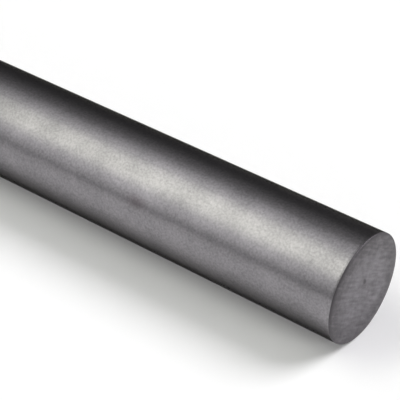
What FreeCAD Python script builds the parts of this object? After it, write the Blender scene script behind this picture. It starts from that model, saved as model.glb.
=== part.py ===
import FreeCAD, Part
import math
import os

# A galvanized steel round bar: one solid piece of cold-finished bar stock, sawn square at both ends.
# Sizes are in millimetres. The bar lies along X on the floor plane Z = 0, with the origin on the floor
# under its middle, so the two sawn faces look along -X and +X.
#
# The section is a plain circle. Each sawn face is flat in the middle. Around it runs the ring that
# deburring leaves, where the face curves back a little, and a small round joins that ring to the side.

# Driving dimensions
BAR_DIAMETER = 25.4
BAR_LENGTH = 914.4
DEBURR_RING_WIDTH = 2.4     # from the bar's side inwards to where the sawn face is flat
DEBURR_RING_DROP = 0.25     # how far back the ring's curve would be where it reaches the side
EDGE_ROUND_RADIUS = 0.4     # between the ring and the side

# Worked out from them. The half section is drawn above the centre line, which lies on the X axis.
BAR_RADIUS = BAR_DIAMETER / 2
HALF_LENGTH = BAR_LENGTH / 2
FLAT_FACE_RADIUS = BAR_RADIUS - DEBURR_RING_WIDTH

# The ring's curve leaves the flat face without a crease, so its centre is straight behind that point.
RING_CURVE_RADIUS = (DEBURR_RING_WIDTH**2 + DEBURR_RING_DROP**2) / (2 * DEBURR_RING_DROP)
RING_CENTRE_X = HALF_LENGTH - RING_CURVE_RADIUS

# The edge round touches the side on its outside and the ring's curve from within.
EDGE_CENTRE_OUT = BAR_RADIUS - EDGE_ROUND_RADIUS
RING_TO_EDGE_CENTRE = RING_CURVE_RADIUS - EDGE_ROUND_RADIUS
RING_END_ANGLE = math.asin((EDGE_CENTRE_OUT - FLAT_FACE_RADIUS) / RING_TO_EDGE_CENTRE)
EDGE_CENTRE_X = RING_CENTRE_X + RING_TO_EDGE_CENTRE * math.cos(RING_END_ANGLE)

SIDE_ANGLE = math.pi / 2
FULL_TURN = 360


def at(along, out):
    """A point of the half section, so far along the bar and so far out from its centre line."""
    return FreeCAD.Vector(along, 0, out)


def arc(side, centre_x, centre_out, radius, from_angle, to_angle):
    """An arc of the half section at one end. Angle 0 points out of the sawn face, and a quarter turn to the side."""
    points = []
    for angle in (from_angle, (from_angle + to_angle) / 2, to_angle):
        along = side * (centre_x + radius * math.cos(angle))
        points.append(at(along, centre_out + radius * math.sin(angle)))
    return Part.Arc(*points).toShape()


def end_outline(side):
    """One sawn end, from the centre line out to the bar's side: flat face, deburred ring, edge round."""
    flat_face = Part.makeLine(at(side * HALF_LENGTH, 0), at(side * HALF_LENGTH, FLAT_FACE_RADIUS))
    ring = arc(side, RING_CENTRE_X, FLAT_FACE_RADIUS, RING_CURVE_RADIUS, 0, RING_END_ANGLE)
    edge_round = arc(side, EDGE_CENTRE_X, EDGE_CENTRE_OUT, EDGE_ROUND_RADIUS, RING_END_ANGLE, SIDE_ANGLE)
    return [flat_face, ring, edge_round]


def half_section():
    """The closed outline that is turned about the centre line to make the bar."""
    side_line = Part.makeLine(at(-EDGE_CENTRE_X, BAR_RADIUS), at(EDGE_CENTRE_X, BAR_RADIUS))
    centre_line = Part.makeLine(at(-HALF_LENGTH, 0), at(HALF_LENGTH, 0))
    edges = end_outline(-1) + [side_line] + end_outline(1) + [centre_line]
    return Part.Face(Part.Wire(Part.__sortEdges__(edges)))


def round_bar():
    """The whole bar, lying on the floor plane."""
    bar = half_section().revolve(FreeCAD.Vector(0, 0, 0), FreeCAD.Vector(1, 0, 0), FULL_TURN)
    bar.translate(FreeCAD.Vector(0, 0, BAR_RADIUS))
    return bar


os.makedirs("parts", exist_ok=True)
bar = round_bar()
bar.exportStep("parts/round_bar.step")

box = bar.optimalBoundingBox()
print("round_bar:", bar.ShapeType, "valid", bar.isValid(), "faces", len(bar.Faces))
print("length %.3f mm, width %.3f mm, height %.3f mm" % (box.XLength, box.YLength, box.ZLength))
print("lowest point %.4f mm above the floor plane" % box.ZMin)
print("round side %.3f mm long between the edge rounds" % (2 * EDGE_CENTRE_X))
print("volume %.1f cubic mm" % bar.Volume)
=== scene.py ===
# %% [markdown]
# A galvanized steel round bar lying on a pale floor. The bar is one solid piece: a round side with a thin
# skin of zinc, and two sawn ends where the bare steel shows. This lesson turns the bar from its outline,
# cuts the saw marks into its ends, gives it two metal finishes, and lights it so that soft bands run along
# its side.

# %% Load the fixed frame
import math

import bmesh
import bpy
import numpy as np
from mathutils import Matrix, Vector


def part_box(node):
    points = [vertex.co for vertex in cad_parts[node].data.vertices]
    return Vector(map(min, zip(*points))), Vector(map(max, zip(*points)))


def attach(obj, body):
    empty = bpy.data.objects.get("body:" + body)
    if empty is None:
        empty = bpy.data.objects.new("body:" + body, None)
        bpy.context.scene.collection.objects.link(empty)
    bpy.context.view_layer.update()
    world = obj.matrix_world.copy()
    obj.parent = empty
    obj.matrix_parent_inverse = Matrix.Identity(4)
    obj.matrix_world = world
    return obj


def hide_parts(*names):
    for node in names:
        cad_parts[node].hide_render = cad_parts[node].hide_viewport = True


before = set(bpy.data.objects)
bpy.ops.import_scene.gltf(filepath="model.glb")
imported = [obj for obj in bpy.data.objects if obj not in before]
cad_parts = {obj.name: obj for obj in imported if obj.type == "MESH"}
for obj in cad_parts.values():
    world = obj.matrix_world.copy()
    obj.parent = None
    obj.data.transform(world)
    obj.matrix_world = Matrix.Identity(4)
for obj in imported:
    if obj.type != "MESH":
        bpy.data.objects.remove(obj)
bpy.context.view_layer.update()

MM = 0.001
low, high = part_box("round_bar")
BAR_LENGTH = high.x - low.x
BAR_RADIUS = (high.z - low.z) / 2
print("bar %.1f mm long, %.2f mm across" % (BAR_LENGTH / MM, 2 * BAR_RADIUS / MM))

# %% [markdown]
# Every tree below, for shapes and for finishes, is built with one small helper. It adds a node, sets its
# options, and has its inputs filled with values or with links from other nodes. A list means several links
# into one input.


# %% Helpers for nodes
def fill(tree, node, inputs):
    """Fills a node's inputs. Each gets a value, or a node, a socket or a list of them to link from."""
    for name, value in inputs.items():
        for source in value if isinstance(value, list) else [value]:
            if isinstance(source, bpy.types.Node):
                source = source.outputs[0]
            if isinstance(source, bpy.types.NodeSocket):
                tree.links.new(source, node.inputs[name])
            else:
                node.inputs[name].default_value = source


def add(tree, kind, inputs=None, **options):
    """Adds a node with these options, and fills its inputs."""
    node = tree.nodes.new(kind)
    for name, value in options.items():
        setattr(node, name, value)
    fill(tree, node, inputs or {})
    return node


def start_tree(name, sockets):
    """Starts a Geometry Nodes tree with these named inputs. Returns it and the sockets that give them."""
    tree = bpy.data.node_groups.new(name, "GeometryNodeTree")
    tree.interface.new_socket("Geometry", in_out="OUTPUT", socket_type="NodeSocketGeometry")
    for socket, kind in sockets.items():
        tree.interface.new_socket(socket, in_out="INPUT", socket_type="NodeSocket" + kind)
    return tree, tree.nodes.new("NodeGroupInput").outputs


# %% [markdown]
# The end of the real bar was sawn and then deburred. Its middle is flat, a ring round it curves back a
# little, and a small round joins the ring to the side. These sizes are those of the solid that the bar is
# made to, so the corners of its outline are worked out here in the same way.

# %% The outline's sizes
RING_WIDTH = 2.4 * MM
RING_DROP = 0.25 * MM
EDGE_ROUND = 0.4 * MM

flat_radius = BAR_RADIUS - RING_WIDTH
ring_curve = (RING_WIDTH**2 + RING_DROP**2) / (2 * RING_DROP)
ring_turn = math.asin((BAR_RADIUS - EDGE_ROUND - flat_radius) / (ring_curve - EDGE_ROUND))
ring_corner = flat_radius + ring_curve * math.tan(ring_turn / 2)
edge_setback = (BAR_RADIUS - ring_corner) * math.tan(ring_turn)
print("the ring turns by %.1f degrees and drops %.3f mm" % (math.degrees(ring_turn), edge_setback / MM))

# %% [markdown]
# A lathe makes a round part by turning an outline about a centre line. Spin or Screw could do it, and
# Geometry Nodes do it with the corners as named inputs: a line of eight points becomes the outline, Fillet
# Curve rounds its corners with true arcs, and Curve to Mesh sweeps it round a circle. The long side is cut
# into equal lengths, because faces a metre long and a hair wide shade badly.

# %% The turned side
POINTS_AROUND = 600
SIDE_LENGTHS = 12
ARC_POINTS = 5
SUPPORT = 0.5 * MM      # a strip of side next to each edge round, so that the round's shading ends there

side_inputs = {
    "Length": "Float", "Radius": "Float", "Flat Radius": "Float", "Ring Corner": "Float",
    "Ring Curve": "Float", "Edge Setback": "Float", "Edge Round": "Float", "Support": "Float",
    "Points Around": "Int", "Side Lengths": "Int", "Arc Points": "Int",
}
turned_side, given = start_tree("turned side", side_inputs)
half = add(turned_side, "ShaderNodeMath", {0: given["Length"], 1: 0.5}, operation="MULTIPLY")
edge_at = add(turned_side, "ShaderNodeMath", {0: half, 1: given["Edge Setback"]}, operation="SUBTRACT")
side_reach = add(turned_side, "ShaderNodeMath",
                 {0: given["Edge Setback"], 1: given["Edge Round"]}, operation="ADD")
side_from = add(turned_side, "ShaderNodeMath", {0: side_reach, 1: given["Support"]}, operation="ADD")
support_at = add(turned_side, "ShaderNodeMath", {0: half, 1: side_from}, operation="SUBTRACT")
print("turned side:", len(side_inputs), "named inputs")

# %% The outline's corners
near_out = [given["Flat Radius"], given["Ring Corner"], given["Radius"], given["Radius"]]
near_along = [half, half, edge_at, support_at]
near_round = [0.0, given["Ring Curve"], given["Edge Round"], 0.0]
CORNERS = 2 * len(near_out)

index = add(turned_side, "GeometryNodeInputIndex")
by_index = []
for near in (near_out, near_along, near_round):
    switch = add(turned_side, "GeometryNodeIndexSwitch", data_type="FLOAT")
    while len(switch.index_switch_items) < CORNERS:
        switch.index_switch_items.new()
    fill(turned_side, switch, {"Index": index})
    fill(turned_side, switch, {str(place): value for place, value in enumerate(near + near[::-1])})
    by_index.append(switch)
print("the outline has", CORNERS, "corners")

# %% Draw the outline
# Curve to Mesh points the outline's X away from the circle's centre and its Y against the circle's own Z,
# so the near end's corners get a negative Y.
is_far = add(turned_side, "FunctionNodeCompare", {2: index, 3: CORNERS // 2 - 1}, data_type="INT")
side_sign = add(turned_side, "ShaderNodeMapRange", {"Value": is_far, "To Min": -1.0, "To Max": 1.0})
outline_x = add(turned_side, "ShaderNodeMath", {0: by_index[0], 1: given["Radius"]}, operation="SUBTRACT")
outline_y = add(turned_side, "ShaderNodeMath", {0: by_index[1], 1: side_sign}, operation="MULTIPLY")
corner = add(turned_side, "ShaderNodeCombineXYZ", {"X": outline_x, "Y": outline_y})
points = add(turned_side, "GeometryNodeMeshLine", {"Count": CORNERS})
line = add(turned_side, "GeometryNodeMeshToCurve", {"Mesh": points})
drawn = add(turned_side, "GeometryNodeSetPosition", {"Geometry": line, "Position": corner})
rounded = add(turned_side, "GeometryNodeFilletCurve",
              {"Curve": drawn, "Count": given["Arc Points"], "Radius": by_index[2], "Limit Radius": False},
              mode="POLY")
print("turned side:", len(turned_side.nodes), "nodes draw its outline")

# %% Cut the side into lengths and sweep the outline
SAME_INDEX = 0.1        # two indices this close are the same one

count = add(turned_side, "GeometryNodeAttributeDomainSize", {"Geometry": rounded}, component="CURVE")
middle = add(turned_side, "ShaderNodeMath", {0: count.outputs["Point Count"], 1: 0.5, 2: -1.0},
             operation="MULTIPLY_ADD")
on_side = add(turned_side, "ShaderNodeMath", {0: index, 1: middle, 2: SAME_INDEX}, operation="COMPARE")
more = add(turned_side, "ShaderNodeMath", {0: given["Side Lengths"], 1: 1.0}, operation="SUBTRACT")
cuts = add(turned_side, "ShaderNodeMath", {0: on_side, 1: more}, operation="MULTIPLY")
outline = add(turned_side, "GeometryNodeSubdivideCurve", {"Curve": rounded, "Cuts": cuts})
circle = add(turned_side, "GeometryNodeCurvePrimitiveCircle",
             {"Resolution": given["Points Around"], "Radius": given["Radius"]})
swept = add(turned_side, "GeometryNodeCurveToMesh", {"Curve": circle, "Profile Curve": outline})
laid = add(turned_side, "GeometryNodeTransform", {"Geometry": swept, "Rotation": (0, math.pi / 2, 0)})
add(turned_side, "NodeGroupOutput", {"Geometry": laid})
print("turned side:", len(turned_side.nodes), "nodes in all")

# %% [markdown]
# A bandsaw leaves fine parallel lines across the whole face. A polar disc would cut across them, so this
# disc has its rows of faces along the lines instead. A square grid is squeezed into a circle: each row
# becomes a chord, and the rows sit at equal angles, so the rim's points meet those of the turned side. The
# lines are then cut inwards, never outwards, so the bar keeps its length. They are a stretched noise, as real
# ones are uneven. The near face also has one small pit close to its middle.

# %% The sawn face
SAW_PITCH = 0.82 * MM
SAW_DEPTH = 0.035 * MM
FACE_ROWS = POINTS_AROUND // 2
FACE_COLUMNS = 64

face_inputs = {
    "Radius": "Float", "Rows": "Int", "Columns": "Int", "Saw Pitch": "Float", "Saw Depth": "Float",
    "Pit Place": "Vector", "Pit Turn": "Float", "Pit Size": "Vector", "Pit Depth": "Float", "Seed": "Float",
}
sawn_face, given = start_tree("sawn face", face_inputs)
grid_x = add(sawn_face, "ShaderNodeMath", {0: given["Columns"], 1: 1.0}, operation="ADD")
grid_y = add(sawn_face, "ShaderNodeMath", {0: given["Rows"], 1: 1.0}, operation="ADD")
grid = add(sawn_face, "GeometryNodeMeshGrid",
           {"Size X": 2.0, "Size Y": math.pi, "Vertices X": grid_x, "Vertices Y": grid_y})
place = add(sawn_face, "GeometryNodeInputPosition")
split = add(sawn_face, "ShaderNodeSeparateXYZ", {"Vector": place})
chord = add(sawn_face, "ShaderNodeMath", {0: split.outputs["Y"]}, operation="COSINE")
along = add(sawn_face, "ShaderNodeMath", {0: split.outputs["X"], 1: chord}, operation="MULTIPLY")
across = add(sawn_face, "ShaderNodeMath", {0: split.outputs["Y"]}, operation="SINE")
on_disc = add(sawn_face, "ShaderNodeCombineXYZ", {"Y": along, "Z": across})
scaled = add(sawn_face, "ShaderNodeVectorMath",
             {0: on_disc, "Scale": given["Radius"]}, operation="SCALE")
disc = add(sawn_face, "GeometryNodeSetPosition", {"Geometry": grid, "Position": scaled})
print("sawn face: a grid of", FACE_COLUMNS, "by", FACE_ROWS)

# %% Cut the saw lines
LINE_LENGTH = 7         # how many pitches a saw line runs before it fades into others
MARK_FADE = 0.9 * MM    # how far inside the rim the deburring has worn the lines away

per_pitch = add(sawn_face, "ShaderNodeMath", {0: 1.0, 1: given["Saw Pitch"]}, operation="DIVIDE")
per_line = add(sawn_face, "ShaderNodeMath", {0: per_pitch, 1: LINE_LENGTH}, operation="DIVIDE")
stretch = add(sawn_face, "ShaderNodeCombineXYZ", {"X": 1.0, "Y": per_line, "Z": per_pitch})
stretched = add(sawn_face, "ShaderNodeVectorMath",
                {0: place, 1: stretch, 2: (0, 0, 0)}, operation="MULTIPLY_ADD")
seed = add(sawn_face, "ShaderNodeCombineXYZ", {"X": given["Seed"]})
seeded = add(sawn_face, "ShaderNodeVectorMath", {0: stretched, 1: seed}, operation="ADD")
lines = add(sawn_face, "ShaderNodeTexNoise",
            {"Vector": seeded, "Scale": 1.0, "Detail": 1.0, "Roughness": 0.5})
from_middle = add(sawn_face, "ShaderNodeVectorMath", {0: place}, operation="LENGTH")
fade_from = add(sawn_face, "ShaderNodeMath", {0: given["Radius"], 1: MARK_FADE}, operation="SUBTRACT")
kept = add(sawn_face, "ShaderNodeMapRange",
           {"Value": from_middle.outputs["Value"], "From Min": given["Radius"], "From Max": fade_from},
           interpolation_type="SMOOTHSTEP")
line_depth = add(sawn_face, "ShaderNodeMath",
                 {0: lines.outputs["Fac"], 1: given["Saw Depth"]}, operation="MULTIPLY")
line_cut = add(sawn_face, "ShaderNodeMath", {0: line_depth, 1: kept}, operation="MULTIPLY")
mean_cut = add(sawn_face, "ShaderNodeMath", {0: kept, 1: 0.5}, operation="MULTIPLY")
print("saw lines %.2f mm apart, up to %.3f mm deep" % (SAW_PITCH / MM, SAW_DEPTH / MM))

# %% Cut the pit, and note the depth, which the finish turns into painted shade
from_pit = add(sawn_face, "ShaderNodeVectorMath",
               {0: place, 1: given["Pit Place"]}, operation="SUBTRACT")
turned = add(sawn_face, "ShaderNodeVectorRotate",
             {"Vector": from_pit, "Angle": given["Pit Turn"]}, rotation_type="X_AXIS")
in_pit = add(sawn_face, "ShaderNodeVectorMath", {0: turned, 1: given["Pit Size"]}, operation="DIVIDE")
pit_reach = add(sawn_face, "ShaderNodeVectorMath", {0: in_pit}, operation="LENGTH").outputs["Value"]
pit = add(sawn_face, "ShaderNodeMapRange",
          {"Value": pit_reach, "From Min": 1.0, "From Max": 0.0, "To Max": given["Pit Depth"]},
          interpolation_type="SMOOTHSTEP")
cut = add(sawn_face, "ShaderNodeMath", {0: line_cut, 1: pit}, operation="ADD")
inward = add(sawn_face, "ShaderNodeVectorMath", {0: (-1, 0, 0), "Scale": cut}, operation="SCALE")
cut_share = add(sawn_face, "ShaderNodeMath", {0: cut, 1: given["Saw Depth"]}, operation="DIVIDE")
cut_share = add(sawn_face, "ShaderNodeMath", {0: cut_share, 1: mean_cut}, operation="SUBTRACT")
noted = add(sawn_face, "GeometryNodeStoreNamedAttribute",
            {"Geometry": disc, "Name": "cut", "Value": cut_share})
marked = add(sawn_face, "GeometryNodeSetPosition", {"Geometry": noted, "Offset": inward})
add(sawn_face, "NodeGroupOutput", {"Geometry": marked})
print("sawn face:", len(sawn_face.nodes), "nodes")

# %% [markdown]
# Now the finishes. Hex colours are what a screen shows, and a shader wants linear light, so one function
# turns them over. A second one starts each material with its main shader.


# %% Colours
def colour(code):
    """A hex colour as the screen shows it, turned to linear light for a shader."""
    parts = [int(code[i:i + 2], 16) / 255 for i in (1, 3, 5)]
    linear = [p / 12.92 if p <= 0.04045 else ((p + 0.055) / 1.055) ** 2.4 for p in parts]
    return (*linear, 1.0)


def start_material(name):
    """Starts a material, and returns it with its tree and its main shader."""
    material = bpy.data.materials.new(name)
    material.use_nodes = True
    tree = material.node_tree
    tree.nodes.clear()
    shader = add(tree, "ShaderNodeBsdfPrincipled")
    add(tree, "ShaderNodeOutputMaterial", {"Surface": shader})
    return material, tree, shader


# %% [markdown]
# The side is steel with a dull zinc coat, a grey metal with a satin shine. Three noises keep it from looking
# like plastic: a fine grain for the zinc's crystals, a mottle where the coat is a little thicker or thinner,
# and slow waves, because the bar was drawn. The crystals of a dull coat are finer than the picture can show,
# so the grain is drawn as coarse as it takes to be seen. One faint reddish mark shows where the bar was
# handled.

# %% The zinc coat's patterns
GRAIN = 0.5 * MM                    # crystals of the dull zinc, coarser than real ones
MOTTLE = 7.0 * MM                   # where the coat is a little thicker or thinner
WAVES = 30.0 * MM                   # how far apart the drawn bar's slow waves are
MARK_BACK = 52.0 * MM               # the mark from handling, so far behind the near end
MARK_HEIGHT = math.radians(26)      # and so far round from the front of the bar towards its top
MARK_SIZE = (4.0 * MM, 2.3 * MM, 2.3 * MM)
MARK_STRENGTH = 0.34

zinc, tree, shader = start_material("dull zinc plate on drawn steel")
place = add(tree, "ShaderNodeTexCoord").outputs["Object"]
grain = add(tree, "ShaderNodeTexNoise",
            {"Vector": place, "Scale": 1 / GRAIN, "Detail": 2.0, "Roughness": 0.6})
mottle = add(tree, "ShaderNodeTexNoise",
             {"Vector": place, "Scale": 1 / MOTTLE, "Detail": 3.0, "Roughness": 0.55})
waves = add(tree, "ShaderNodeTexNoise", {"Vector": place, "Scale": 1 / WAVES, "Detail": 1.0})
mark_at = (high.x - MARK_BACK, -BAR_RADIUS * math.cos(MARK_HEIGHT),
           BAR_RADIUS * (1 + math.sin(MARK_HEIGHT)))
from_mark = add(tree, "ShaderNodeVectorMath", {0: place, 1: mark_at}, operation="SUBTRACT")
in_mark = add(tree, "ShaderNodeVectorMath", {0: from_mark, 1: MARK_SIZE}, operation="DIVIDE")
mark_reach = add(tree, "ShaderNodeVectorMath", {0: in_mark}, operation="LENGTH").outputs["Value"]
mark = add(tree, "ShaderNodeMapRange",
           {"Value": mark_reach, "From Min": 1.0, "From Max": 0.0, "To Max": MARK_STRENGTH},
           interpolation_type="SMOOTHSTEP")
print("the mark is at", [round(v / MM, 1) for v in mark_at], "mm")

# %% [markdown]
# The patterns choose a tone between two greys. A Mix node for colours takes them in its inputs 6 and 7, and
# gives its output 2. A metal usually turns bright where it is seen at a shallow angle. Dull zinc is rough
# enough to shade itself there, so the tint for that angle is low. The waves and the grain also bend the shine
# a little. Real waves are a few hundredths of a millimetre high and wouldn't show at this size, so these are
# drawn higher.

# %% The zinc coat's shader
ZINC_DARK = "#757376"
ZINC_LIGHT = "#979497"
MARK_COLOUR = "#523f45"
MOTTLE_SHARE = 0.4                  # how far the mottle shifts the tone, where the grain's share is 1
TONE_LOW, TONE_HIGH = 0.2, 0.8      # the tones that the darker and the lighter grey stand for
NOISE_LOW, NOISE_HIGH = 0.3, 0.7    # a noise seldom leaves these
ZINC_ROUGHNESS = (0.32, 0.28)       # where the mottle is low, and where it is high
SHALLOW_TINT = (0.12, 0.126, 0.113, 1.0)
WAVE_HEIGHT = 0.3 * MM
GRAIN_HEIGHT = 0.0024 * MM

tone = add(tree, "ShaderNodeMath", {0: mottle, 1: MOTTLE_SHARE, 2: -MOTTLE_SHARE / 2},
           operation="MULTIPLY_ADD")
tone = add(tree, "ShaderNodeMath", {0: grain, 1: tone}, operation="ADD")
share = add(tree, "ShaderNodeMapRange", {"Value": tone, "From Min": TONE_LOW, "From Max": TONE_HIGH})
clean = add(tree, "ShaderNodeMix", {0: share, 6: colour(ZINC_DARK), 7: colour(ZINC_LIGHT)}, data_type="RGBA")
tint = add(tree, "ShaderNodeMix", {0: mark, 6: clean.outputs[2], 7: colour(MARK_COLOUR)}, data_type="RGBA")
satin = add(tree, "ShaderNodeMapRange",
            {"Value": mottle, "From Min": NOISE_LOW, "From Max": NOISE_HIGH,
             "To Min": ZINC_ROUGHNESS[0], "To Max": ZINC_ROUGHNESS[1]})
waved = add(tree, "ShaderNodeBump", {"Height": waves, "Strength": 1.0, "Distance": WAVE_HEIGHT})
grained = add(tree, "ShaderNodeBump",
              {"Height": grain, "Strength": 1.0, "Distance": GRAIN_HEIGHT, "Normal": waved})
fill(tree, shader, {"Base Color": tint.outputs[2], "Metallic": 1.0, "Roughness": satin,
                    "Specular Tint": SHALLOW_TINT, "Normal": grained})
print(zinc.name, len(tree.nodes), "nodes")

# %% [markdown]
# Where the bar was sawn and deburred, the zinc is gone and bare steel shows. It is darker and much duller
# than the coat, and blotchy from the saw's coolant. Noise that is stretched along the saw's angle draws fine
# scratches over the face and the ring. The depth that the tree stored as its cut is painted on as shade,
# so the grooves and the pit are darker, and the ring that the deburring tool rubbed is darker too.

# %% The sawn steel's patterns
BLOTCH = 2.0 * MM           # stains from the coolant
GRIT = 0.5 * MM             # torn metal
SCRATCH = 0.7 * MM          # across the saw's scratches
SCRATCH_LENGTH = 4.0 * MM
NEAR_SAW_ANGLE = -33        # degrees, how far each face's saw lines are turned from level
FAR_SAW_ANGLE = 21
RUBBED_FROM = 0.5 * BAR_RADIUS      # from here outwards the deburring tool's wear grows,
RUBBED_TO = 0.9 * BAR_RADIUS        # and from here on it is full
RIM_FROM = 0.94 * BAR_RADIUS

steel, tree, shader = start_material("bare sawn steel")
place = add(tree, "ShaderNodeTexCoord").outputs["Object"]
blotch = add(tree, "ShaderNodeTexNoise",
             {"Vector": place, "Scale": 1 / BLOTCH, "Detail": 3.0, "Roughness": 0.6})
grit = add(tree, "ShaderNodeTexNoise", {"Vector": place, "Scale": 1 / GRIT, "Detail": 1.0})
centred = add(tree, "ShaderNodeVectorMath", {0: place, 1: (0, 0, BAR_RADIUS)}, operation="SUBTRACT")
flat = add(tree, "ShaderNodeVectorMath", {0: centred, 1: (0, 1, 1)}, operation="MULTIPLY")
out = add(tree, "ShaderNodeVectorMath", {0: flat}, operation="LENGTH").outputs["Value"]
rubbed = add(tree, "ShaderNodeMapRange", {"Value": out, "From Min": RUBBED_FROM, "From Max": RUBBED_TO},
             interpolation_type="SMOOTHSTEP")
rim = add(tree, "ShaderNodeMapRange", {"Value": out, "From Min": RIM_FROM, "From Max": BAR_RADIUS})
# The cut depth is painted on as shade: the deeper a saw groove or the pit, the darker the steel, the
# shallower, the lighter.
painted_groove_shade = add(tree, "ShaderNodeAttribute", attribute_name="cut").outputs["Fac"]
end = add(tree, "ShaderNodeSeparateXYZ", {"Vector": place}).outputs["X"]
saw_angle = add(tree, "ShaderNodeMapRange",
                {"Value": end, "From Min": -MM, "From Max": MM,
                 "To Min": math.radians(FAR_SAW_ANGLE), "To Max": math.radians(-NEAR_SAW_ANGLE)})
turned = add(tree, "ShaderNodeVectorRotate", {"Vector": flat, "Angle": saw_angle}, rotation_type="X_AXIS")
drawn_out = add(tree, "ShaderNodeVectorMath",
                {0: turned, 1: (0, 1 / SCRATCH_LENGTH, 1 / SCRATCH)}, operation="MULTIPLY")
scratches = add(tree, "ShaderNodeTexNoise",
                {"Vector": drawn_out, "Scale": 1.0, "Detail": 1.0, "Roughness": 0.4})
print("scratches %.1f mm wide and %.1f mm long" % (SCRATCH / MM, SCRATCH_LENGTH / MM))

# %% The sawn steel's shader
STEEL_DARK = "#625f62"
STEEL_LIGHT = "#908d91"
STEEL_ROUGHNESS = (0.54, 0.46)      # where the blotches are low, and where they are high
RIM_ROUGHER = 0.15
GRIT_HEIGHT = 0.02 * MM
TONE_START = -0.35
# How much each pattern lightens the steel, or darkens it.
tone_shares = [(blotch, 0.55), (grit, 0.3), (rubbed, -0.5), (painted_groove_shade, -0.7), (scratches, 1.0), (rim, -0.2)]

tone = TONE_START
for pattern, tone_share in tone_shares:
    tone = add(tree, "ShaderNodeMath", {0: pattern, 1: tone_share, 2: tone}, operation="MULTIPLY_ADD")
tone.use_clamp = True
tint = add(tree, "ShaderNodeMix", {0: tone, 6: colour(STEEL_DARK), 7: colour(STEEL_LIGHT)}, data_type="RGBA")
dull = add(tree, "ShaderNodeMapRange",
           {"Value": blotch, "From Min": NOISE_LOW, "From Max": NOISE_HIGH,
            "To Min": STEEL_ROUGHNESS[0], "To Max": STEEL_ROUGHNESS[1]})
dull = add(tree, "ShaderNodeMath", {0: rim, 1: RIM_ROUGHER, 2: dull}, operation="MULTIPLY_ADD")
gritty = add(tree, "ShaderNodeBump", {"Height": grit, "Strength": 1.0, "Distance": GRIT_HEIGHT})
fill(tree, shader, {"Base Color": tint.outputs[2], "Metallic": 1.0, "Roughness": dull, "Normal": gritty})
print(steel.name, len(tree.nodes), "nodes")

# %% [markdown]
# The bar joins the turned side and the two faces. Each face is turned about the bar's centre line so that
# its saw lines lie as they were cut, and each has a seed of its own. Only the near one has the pit. Merging
# by distance closes the seams and the poles.

# %% Join the side and the faces
NEAR_SEED = 3.0
FAR_SEED = 8.0
faces = [(1, NEAR_SAW_ANGLE, 1.0, NEAR_SEED), (-1, FAR_SAW_ANGLE, 0.0, FAR_SEED)]

bar_inputs = {**side_inputs, **face_inputs, "Side Finish": "Material", "End Finish": "Material"}
del bar_inputs["Seed"]
whole_bar, given = start_tree("round bar", bar_inputs)
tube = add(whole_bar, "GeometryNodeGroup", {name: given[name] for name in side_inputs}, node_tree=turned_side)
half = add(whole_bar, "ShaderNodeMath", {0: given["Length"], 1: 0.5}, operation="MULTIPLY")
same = {name: given[name] for name in face_inputs if name in bar_inputs}
parts = [tube]
for side, saw_angle, pit_share, seed in faces:
    depth = add(whole_bar, "ShaderNodeMath", {0: given["Pit Depth"], 1: pit_share}, operation="MULTIPLY")
    own = {"Radius": given["Flat Radius"], "Pit Depth": depth, "Seed": seed}
    face = add(whole_bar, "GeometryNodeGroup", {**same, **own}, node_tree=sawn_face)
    along = add(whole_bar, "ShaderNodeMath", {0: half, 1: float(side)}, operation="MULTIPLY")
    moved = add(whole_bar, "ShaderNodeCombineXYZ", {"X": along})
    turn = (math.radians(saw_angle), 0, 0 if side > 0 else math.pi)
    parts.append(add(whole_bar, "GeometryNodeTransform",
                     {"Geometry": face, "Translation": moved, "Rotation": turn}))
print("round bar:", len(parts), "parts to join")

# %% Close the seams and give the finishes
TOUCHING = 0.001 * MM       # points nearer than this are one point

joined = add(whole_bar, "GeometryNodeJoinGeometry", {"Geometry": parts})
merged = add(whole_bar, "GeometryNodeMergeByDistance", {"Geometry": joined, "Distance": TOUCHING})
lift = add(whole_bar, "ShaderNodeCombineXYZ", {"Z": given["Radius"]})
lifted = add(whole_bar, "GeometryNodeTransform", {"Geometry": merged, "Translation": lift})
smooth = add(whole_bar, "GeometryNodeSetShadeSmooth", {"Geometry": lifted})
real = add(whole_bar, "GeometryNodeRealizeInstances", {"Geometry": smooth})
coated = add(whole_bar, "GeometryNodeSetMaterial", {"Geometry": real, "Material": given["Side Finish"]})
place = add(whole_bar, "GeometryNodeInputPosition")
place_x = add(whole_bar, "ShaderNodeSeparateXYZ", {"Vector": place}).outputs["X"]
reach = add(whole_bar, "ShaderNodeMath", {0: place_x}, operation="ABSOLUTE")
end_depth = add(whole_bar, "ShaderNodeMath",
                {0: given["Edge Setback"], 1: given["Edge Round"]}, operation="ADD")
bare_from = add(whole_bar, "ShaderNodeMath", {0: half, 1: end_depth}, operation="SUBTRACT")
is_bare = add(whole_bar, "ShaderNodeMath", {0: reach, 1: bare_from}, operation="GREATER_THAN")
bare = add(whole_bar, "GeometryNodeSetMaterial",
           {"Geometry": coated, "Selection": is_bare, "Material": given["End Finish"]})
add(whole_bar, "NodeGroupOutput", {"Geometry": bare})
print("round bar:", len(whole_bar.nodes), "nodes")

# %% Run the tree and keep its mesh
PIT_PLACE = (0, -1.63 * MM, 1.86 * MM)      # from the face's middle, before the face is turned
PIT_TURN = math.radians(23)
PIT_SIZE = (1, 1.15 * MM, 0.6 * MM)         # from its middle to its edge; the first, along the bar, is free
PIT_DEPTH = 0.12 * MM

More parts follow.
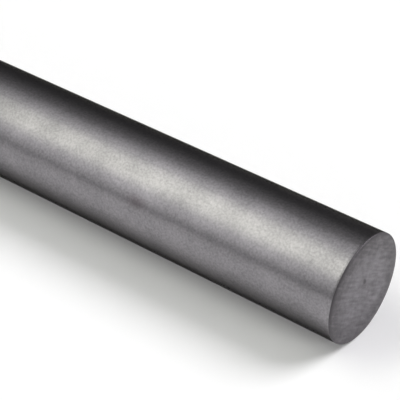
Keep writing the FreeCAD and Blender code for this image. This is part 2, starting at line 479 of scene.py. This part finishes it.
sizes = {
    "Length": BAR_LENGTH, "Radius": BAR_RADIUS, "Flat Radius": flat_radius, "Ring Corner": ring_corner,
    "Ring Curve": ring_curve, "Edge Setback": edge_setback, "Edge Round": EDGE_ROUND, "Support": SUPPORT,
    "Points Around": POINTS_AROUND, "Side Lengths": SIDE_LENGTHS, "Arc Points": ARC_POINTS,
    "Rows": FACE_ROWS, "Columns": FACE_COLUMNS, "Saw Pitch": SAW_PITCH, "Saw Depth": SAW_DEPTH,
    "Pit Place": PIT_PLACE, "Pit Turn": PIT_TURN, "Pit Size": PIT_SIZE, "Pit Depth": PIT_DEPTH,
    "Side Finish": zinc, "End Finish": steel,
}
maker = bpy.data.objects.new("bar_maker", bpy.data.meshes.new("bar_maker"))
bpy.context.scene.collection.objects.link(maker)
modifier = maker.modifiers.new("round bar", "NODES")
modifier.node_group = whole_bar
for item in whole_bar.interface.items_tree:
    if item.in_out == "INPUT":
        modifier[item.identifier] = sizes[item.name]
depsgraph = bpy.context.evaluated_depsgraph_get()
mesh = bpy.data.meshes.new_from_object(maker.evaluated_get(depsgraph), preserve_all_data_layers=True,
                                       depsgraph=depsgraph)
mesh.name = "galvanized_bar"
mesh.materials.pop(index=0)
bpy.data.objects.remove(maker)
bar = bpy.data.objects.new("galvanized_bar", mesh)
bpy.context.scene.collection.objects.link(bar)
print("materials", list(mesh.materials), "attributes", [a.name for a in mesh.attributes])

# %% Check the mesh
checked = bmesh.new()
checked.from_mesh(mesh)
open_edges = sum(not edge.is_manifold for edge in checked.edges)
triangles = sum(len(face.verts) - 2 for face in checked.faces)
volume = checked.calc_volume(signed=True)
checked.free()
print("bar: %d triangles, %d open edges, volume %.1f cubic mm" % (triangles, open_edges, volume / MM**3))

# %% [markdown]
# Other programs read a finish from a picture that is wrapped round the mesh, so the bar gets a map for that
# picture. Smart UV Project would lay a bar this long and thin out as a narrow strip and waste most of the
# picture. Here the side is cut into its twelve lengths, each rolled out flat in its own square cell, and the
# two ends lie flat in cells of their own, where they get three times the detail. The seam runs along the
# bottom.

# %% The map that a bake uses
CELLS = 4                       # the picture is 4 cells wide and 4 high
PICTURE = 1024                  # pixels, the smallest picture that it is made for
CELL_MARGIN = 3 / PICTURE       # three pixels, so that neighbours don't bleed together

cell = 1 / CELLS
cell_room = cell - 2 * CELL_MARGIN
corner_at = np.empty(len(mesh.loops), np.int32)
mesh.loops.foreach_get("vertex_index", corner_at)
points = np.empty(3 * len(mesh.vertices))
mesh.vertices.foreach_get("co", points)
corner_x, corner_y, corner_z = points.reshape(-1, 3)[corner_at].T
corner_z = corner_z - BAR_RADIUS
corners = np.empty(len(mesh.polygons), np.int32)
mesh.polygons.foreach_get("loop_total", corners)
first = np.cumsum(corners) - corners
face_of = np.repeat(np.arange(len(corners)), corners)
middle_x = (np.add.reduceat(corner_x, first) / corners)[face_of]
print("map for", len(corners), "faces,", len(corner_at), "corners")

# %% Roll the side out
half_side = BAR_LENGTH / 2 - edge_setback - EDGE_ROUND
side_length = 2 * (half_side - SUPPORT) / SIDE_LENGTHS
number = np.clip((middle_x + half_side - SUPPORT) // side_length, 0, SIDE_LENGTHS - 1)
turn = np.arctan2(corner_y, corner_z)
wide = np.maximum.reduceat(turn, first) - np.minimum.reduceat(turn, first) > math.pi
turn = turn + 2 * math.pi * (wide[face_of] & (turn < 0))
side_scale = cell_room / (2 * math.pi * BAR_RADIUS)
starts_at = np.where(number > 0, SUPPORT + number * side_length, 0) - half_side
side_u = number % CELLS * cell + CELL_MARGIN + (corner_x - starts_at) * side_scale
side_v = number // CELLS * cell + CELL_MARGIN + (turn + math.pi) / (2 * math.pi) * cell_room
print("the side has %.1f pixels per mm" % (PICTURE * side_scale * MM))

# %% Lay the ends flat
RING_STARTS = 0.999 * flat_radius       # just inside the flat's edge, so that its points count as the ring's
END_ROW = 3.5 * cell                    # how high the middle of the top row is, above the twelve lengths
NEAR_CELL = 0.5 * cell                  # how far along it the middles of the two ends' cells are
FAR_CELL = 1.5 * cell

out = np.hypot(corner_y, corner_z)
drop = np.where(out > RING_STARTS, BAR_LENGTH / 2 - np.abs(corner_x), 0)
end_scale = cell_room / 2 / (BAR_RADIUS + edge_setback + EDGE_ROUND)
spread = end_scale * (out + drop) / np.maximum(out, TOUCHING)
end_u = np.where(middle_x > 0, NEAR_CELL + corner_y * spread, FAR_CELL - corner_y * spread)
end_v = END_ROW + corner_z * spread
on_end = np.abs(middle_x) > half_side
uv = np.stack([np.where(on_end, end_u, side_u), np.where(on_end, end_v, side_v)], 1)
bake_map = mesh.uv_layers.new(name="OFBake")
bake_map.uv.foreach_set("vector", uv.astype(np.float32).ravel())
print("the ends have %.1f pixels per mm" % (PICTURE * end_scale * MM))
print("map from", uv.min(0), "to", uv.max(0))

# %% [markdown]
# The camera stands where the photograph was taken from, about a foot from the near face. Its place is given
# from that face: how far away it is, and how far the face lies to the right of and below the middle of the
# picture.

# %% The camera
CAMERA_AZIMUTH = math.radians(37.633)
CAMERA_ELEVATION = math.radians(37.225)
CAMERA_DEPTH = 324.1 * MM      # from the camera's plane to the middle of the near face
FACE_RIGHT = 34.03 * MM        # how far right of the picture's middle line the face's middle is
FACE_DOWN = 18.52 * MM
RIM_BACK = 0.3 * MM            # the outline that was measured is the rim's, a little behind the flat face
LENS = 140.225                 # millimetres, as the sensor's width is
SENSOR = 36.0
NEAREST_SEEN = 10 * MM

back = Vector((math.sin(CAMERA_AZIMUTH) * math.cos(CAMERA_ELEVATION),
               -math.cos(CAMERA_AZIMUTH) * math.cos(CAMERA_ELEVATION), math.sin(CAMERA_ELEVATION)))
right = Vector((math.cos(CAMERA_AZIMUTH), math.sin(CAMERA_AZIMUTH), 0))
up = back.cross(right)
near_face = Vector((high.x - RIM_BACK, 0, BAR_RADIUS))
camera = bpy.data.objects.new("camera", bpy.data.cameras.new("camera"))
bpy.context.scene.collection.objects.link(camera)
bpy.context.scene.camera = camera
camera.data.lens = LENS
camera.data.sensor_width = SENSOR
camera.data.clip_start = NEAREST_SEEN
camera.matrix_world = Matrix((right, up, back)).transposed().to_4x4()
camera.location = near_face + back * CAMERA_DEPTH - right * FACE_RIGHT + up * FACE_DOWN
print("camera at", [round(v, 4) for v in camera.location])

# %% [markdown]
# The floor is white paper. A little light of its own, for the eye and for mirrors only, brings it up to pure
# white without putting more light on the bar, and it still takes the bar's shadow.

# %% The floor
FLOOR_REACH = 40.0         # metres, each way from the bar
FLOOR_GLOW = 0.08
PAPER = "#f5f5f5"
PAPER_ROUGHNESS = 0.9
WHITE = (1, 1, 1, 1)

paper, tree, shader = start_material("matt white studio paper")
path = add(tree, "ShaderNodeLightPath").outputs
seen = add(tree, "ShaderNodeMath", {0: path["Is Camera Ray"], 1: path["Is Glossy Ray"]}, operation="MAXIMUM")
seen = add(tree, "ShaderNodeMath", {0: seen, 1: path["Is Transmission Ray"]}, operation="MAXIMUM")
glow = add(tree, "ShaderNodeMath", {0: seen, 1: FLOOR_GLOW}, operation="MULTIPLY")
fill(tree, shader, {"Base Color": colour(PAPER), "Roughness": PAPER_ROUGHNESS,
                    "Emission Color": WHITE, "Emission Strength": glow})
floor_mesh = bpy.data.meshes.new("floor")
floor_corners = [(x * FLOOR_REACH, y * FLOOR_REACH, 0) for x, y in ((-1, -1), (1, -1), (1, 1), (-1, 1))]
floor_mesh.from_pydata(floor_corners, [], [(0, 1, 2, 3)])
floor_mesh.materials.append(paper)
floor = bpy.data.objects.new("floor", floor_mesh)
bpy.context.scene.collection.objects.link(floor)
print("floor %.0f m across" % (2 * FLOOR_REACH))

# %% [markdown]
# A round bar is a mirror rolled up: going round it from top to bottom, the eye sees the whole room from back
# to front as bands. So the light is a row of soft round lamps on an arc over the bar, as a curved softbox
# would be, bright above and in front and dim behind, and a little warm where it is bright. The other lamps
# stand where the side doesn't mirror them to the camera. One fills in the bands close to the near end, and a
# low one lights the worn rim. One beyond each end draws a bright band along the top when the bar is seen
# end-on. The strong one, high at the back, gives the floor its light and the bar a short soft shadow. It is a
# little cool.

# %% Where the lamps are, and how bright
ARC_LEAN = (-31.0, -26.5)  # degrees along the bar, first lamp and last, where the camera sees them mirrored
ARC_RADIUS = 11            # degrees, each lamp
ARC_STEP = 14              # degrees, from one lamp to the next
ARC_FROM = 8               # degrees up from the front horizon
ARC = [0.28, 1.05, 1.08, 2.32, 1.98, 2.17, 1.08, 0.82, 0.21, 0.13]    # a white sheet would be 1
WARM_FROM = 1.5            # lamps of the arc that are brighter than this are warm
WARM = "#fcfff4"
COOL = "#fdfcff"
ROOM_LIGHT = 0.07          # what comes from everywhere else

# Each lamp off the arc: where it is, its radius in degrees, and its brightness.
OTHER_LAMPS = {
    "fill": (Vector((-0.10, -0.40, 0.91)), 14, 1.0),
    "rim": (Vector((0.50, -0.86, 0.10)), 22, 1.0),
    "near_end": (Vector((0.92, 0.0, 0.39)), 7, 6.0),
    "far_end": (Vector((-0.92, 0.0, 0.39)), 7, 6.0),
    "back": (Vector((0.42, 0.49, 0.76)), 16, 9.7),
}
print(len(ARC), "lamps on the arc,", len(OTHER_LAMPS), "others")


# %% Hang the lamps
def lamp(name, towards, radius, brightness):
    """A soft round lamp far away, towards this direction, with its radius in degrees as seen from the bar."""
    sun = bpy.data.objects.new(name, bpy.data.lights.new(name, "SUN"))
    bpy.context.scene.collection.objects.link(sun)
    sun.data.angle = math.radians(2 * radius)
    sun.data.energy = brightness * math.pi * math.sin(math.radians(radius)) ** 2
    sun.rotation_mode = "QUATERNION"
    sun.rotation_quaternion = towards.to_track_quat("Z", "Y")
    return sun


for number, brightness in enumerate(ARC):
    turn = math.radians(ARC_FROM + ARC_STEP * number)
    lean = math.radians(np.interp(number, (0, len(ARC) - 1), ARC_LEAN))
    towards = Vector((math.tan(lean), -math.cos(turn), math.sin(turn)))
    sun = lamp("arc_%d" % (number + 1), towards, ARC_RADIUS, brightness)
    if brightness > WARM_FROM:
        sun.data.color = colour(WARM)[:3]
for name, (towards, radius, brightness) in OTHER_LAMPS.items():
    sun = lamp(name, towards, radius, brightness)
    if name == "back":
        sun.data.color = colour(COOL)[:3]

world = bpy.data.worlds.new("studio")
bpy.context.scene.world = world
world.use_nodes = True
fill(world.node_tree, world.node_tree.nodes["Background"], {"Color": WHITE, "Strength": ROOM_LIGHT})
print("hung", len(ARC) + len(OTHER_LAMPS), "lamps")

# %% Hand the bar over
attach(bar, "root")
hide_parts("round_bar")

bpy.context.scene.view_settings.view_transform = "Standard"
bpy.context.view_layer.update()
